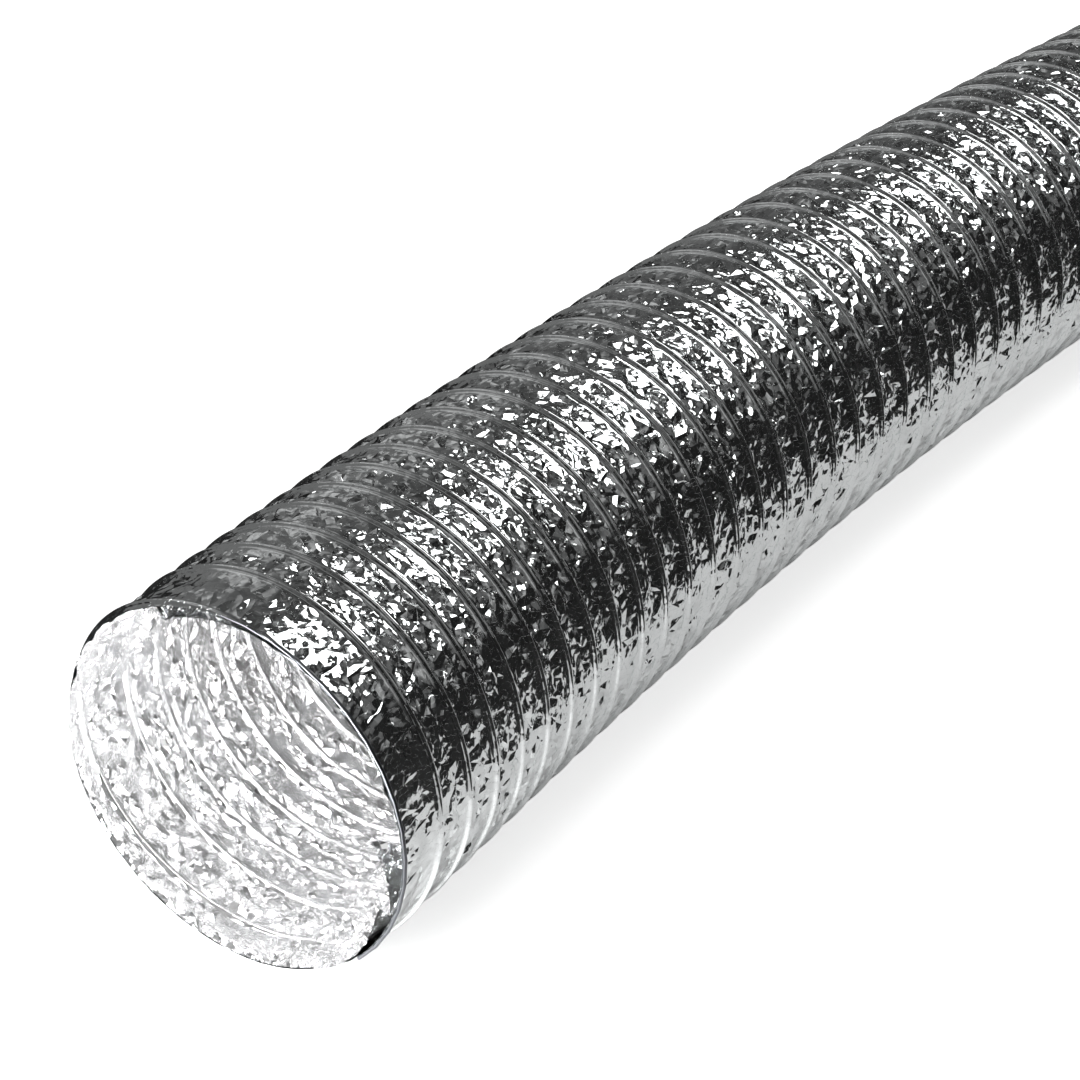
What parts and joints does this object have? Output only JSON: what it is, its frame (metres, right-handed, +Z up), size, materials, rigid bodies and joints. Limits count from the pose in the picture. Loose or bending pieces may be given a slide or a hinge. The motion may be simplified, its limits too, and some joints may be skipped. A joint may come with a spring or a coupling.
{
  "type": "flexible air duct",
  "caption": "Flexible air duct of aluminium foil over a spring-steel wire helix, open at both ends; it draws out, pushes together and bends.",
  "frame": {"origin": "centre of the near mouth, on the duct's axis at the cut edge", "axes": "+X along the duct from the near mouth inwards, +Z up, so the duct lies along X and curves gently towards -Y"},
  "size_m": [0.5814, 0.1509, 0.1057],
  "materials": {
    "foil": "bright crumpled foil laminate",
    "liner": "bright foil laminate, inside",
    "wire": "drawn spring steel"
  },
  "bodies": {
    "section_01": {"wire_01": "wire", "inner_ply_01": "liner", "outer_ply_01": "foil"},
    "section_02": {"wire_02": "wire", "inner_ply_02": "liner", "outer_ply_02": "foil"},
    "section_03": {"wire_03": "wire", "inner_ply_03": "liner", "outer_ply_03": "foil"},
    "section_04": {"wire_04": "wire", "inner_ply_04": "liner", "outer_ply_04": "foil"},
    "section_05": {"wire_05": "wire", "inner_ply_05": "liner", "outer_ply_05": "foil"},
    "section_06": {"wire_06": "wire", "inner_ply_06": "liner", "outer_ply_06": "foil"},
    "section_07": {"wire_07": "wire", "inner_ply_07": "liner", "outer_ply_07": "foil"},
    "section_08": {"wire_08": "wire", "inner_ply_08": "liner", "outer_ply_08": "foil"},
    "section_09": {"wire_09": "wire", "inner_ply_09": "liner", "outer_ply_09": "foil"},
    "section_10": {"wire_10": "wire", "inner_ply_10": "liner", "outer_ply_10": "foil"},
    "section_11": {"wire_11": "wire", "inner_ply_11": "liner", "outer_ply_11": "foil"},
    "section_12": {"wire_12": "wire", "inner_ply_12": "liner", "outer_ply_12": "foil"},
    "section_13": {"wire_13": "wire", "inner_ply_13": "liner", "outer_ply_13": "foil"},
    "section_14": {"wire_14": "wire", "inner_ply_14": "liner", "outer_ply_14": "foil"},
    "section_15": {"wire_15": "wire", "inner_ply_15": "liner", "outer_ply_15": "foil"},
    "section_16": {"wire_16": "wire", "inner_ply_16": "liner", "outer_ply_16": "foil"},
    "section_17": {"wire_17": "wire", "inner_ply_17": "liner", "outer_ply_17": "foil"},
    "section_18": {"wire_18": "wire", "inner_ply_18": "liner", "outer_ply_18": "foil"},
    "section_19": {"wire_19": "wire", "inner_ply_19": "liner", "outer_ply_19": "foil"}
  },
  "joints": [
    {"name": "draw_01", "type": "slide", "parent": "section_01", "child": "section_02", "axis": [1, 0, 0], "range_m": [-0.0088, 0.0012], "deforming": ["inner_ply_01", "outer_ply_01", "inner_ply_02", "outer_ply_02"]},
    {"name": "yaw_02", "type": "hinge", "parent": "section_02", "child": "section_03", "pos_m": [0.05242, 0, 0], "axis": [0, 0, 1], "range_deg": [-10, 10], "deforming": ["inner_ply_03", "outer_ply_03"]},
    {"name": "draw_03", "type": "slide", "parent": "section_03", "child": "section_04", "axis": [1, -0.0052, 0], "range_m": [-0.00942, 0.00128], "deforming": ["inner_ply_04", "outer_ply_04"]},
    {"name": "lift_04", "type": "hinge", "parent": "section_04", "child": "section_05", "pos_m": [0.10433, -0.00028, 0], "axis": [0.0157, 0.9999, 0], "range_deg": [-10, 10], "deforming": ["inner_ply_05", "outer_ply_05"]},
    {"name": "draw_05", "type": "slide", "parent": "section_05", "child": "section_06", "axis": [0.9997, -0.0262, 0], "range_m": [-0.01005, 0.00137], "deforming": ["inner_ply_06", "outer_ply_06"]},
    {"name": "yaw_06", "type": "hinge", "parent": "section_06", "child": "section_07", "pos_m": [0.15871, -0.0017, 0], "axis": [0, 0, 1], "range_deg": [-10, 10], "deforming": ["inner_ply_07", "outer_ply_07"]},
    {"name": "draw_07", "type": "slide", "parent": "section_07", "child": "section_08", "axis": [0.9989, -0.0471, 0], "range_m": [-0.01067, 0.00145], "deforming": ["inner_ply_08", "outer_ply_08"]},
    {"name": "lift_08", "type": "hinge", "parent": "section_08", "child": "section_09", "pos_m": [0.21554, -0.00439, 0], "axis": [0.0576, 0.9983, 0], "range_deg": [-10, 10], "deforming": ["inner_ply_09", "outer_ply_09"]},
    {"name": "draw_09", "type": "slide", "parent": "section_09", "child": "section_10", "axis": [0.9977, -0.068, 0], "range_m": [-0.01129, 0.00154], "deforming": ["inner_ply_10", "outer_ply_10"]},
    {"name": "yaw_10", "type": "hinge", "parent": "section_10", "child": "section_11", "pos_m": [0.27478, -0.00843, 0], "axis": [0, 0, 1], "range_deg": [-10, 10], "deforming": ["inner_ply_11", "outer_ply_11"]},
    {"name": "draw_11", "type": "slide", "parent": "section_11", "child": "section_12", "axis": [0.996, -0.0889, 0], "range_m": [-0.01191, 0.00162], "deforming": ["inner_ply_12", "outer_ply_12"]},
    {"name": "lift_12", "type": "hinge", "parent": "section_12", "child": "section_13", "pos_m": [0.3364, -0.01393, 0], "axis": [0.0993, 0.9951, 0], "range_deg": [-10, 10], "deforming": ["inner_ply_13", "outer_ply_13"]},
    {"name": "draw_13", "type": "slide", "parent": "section_13", "child": "section_14", "axis": [0.994, -0.1097, 0], "range_m": [-0.01253, 0.00171], "deforming": ["inner_ply_14", "outer_ply_14"]},
    {"name": "yaw_14", "type": "hinge", "parent": "section_14", "child": "section_15", "pos_m": [0.40036, -0.02099, 0], "axis": [0, 0, 1], "range_deg": [-10, 10], "deforming": ["inner_ply_15", "outer_ply_15"]},
    {"name": "draw_15", "type": "slide", "parent": "section_15", "child": "section_16", "axis": [0.9914, -0.1305, 0], "range_m": [-0.01316, 0.00179], "deforming": ["inner_ply_16", "outer_ply_16"]},
    {"name": "lift_16", "type": "hinge", "parent": "section_16", "child": "section_17", "pos_m": [0.46663, -0.02972, 0], "axis": [0.1409, 0.99, 0], "range_deg": [-10, 10], "deforming": ["inner_ply_17", "outer_ply_17"]},
    {"name": "draw_17", "type": "slide", "parent": "section_17", "child": "section_18", "axis": [0.9885, -0.1513, 0], "range_m": [-0.01378, 0.00188], "deforming": ["inner_ply_18", "outer_ply_18"]},
    {"name": "yaw_18", "type": "hinge", "parent": "section_18", "child": "section_19", "pos_m": [0.53517, -0.04021, 0], "axis": [0, 0, 1], "range_deg": [-10, 10], "deforming": ["inner_ply_19", "outer_ply_19"]}
  ],
  "couplings": [
    {"joint": "draw_03", "follows": "draw_01", "ratio": 1.0707},
    {"joint": "draw_05", "follows": "draw_01", "ratio": 1.1414},
    {"joint": "draw_07", "follows": "draw_01", "ratio": 1.2121},
    {"joint": "draw_09", "follows": "draw_01", "ratio": 1.2828},
    {"joint": "draw_11", "follows": "draw_01", "ratio": 1.3535},
    {"joint": "draw_13", "follows": "draw_01", "ratio": 1.4242},
    {"joint": "draw_15", "follows": "draw_01", "ratio": 1.4949},
    {"joint": "draw_17", "follows": "draw_01", "ratio": 1.5657}
  ]
}
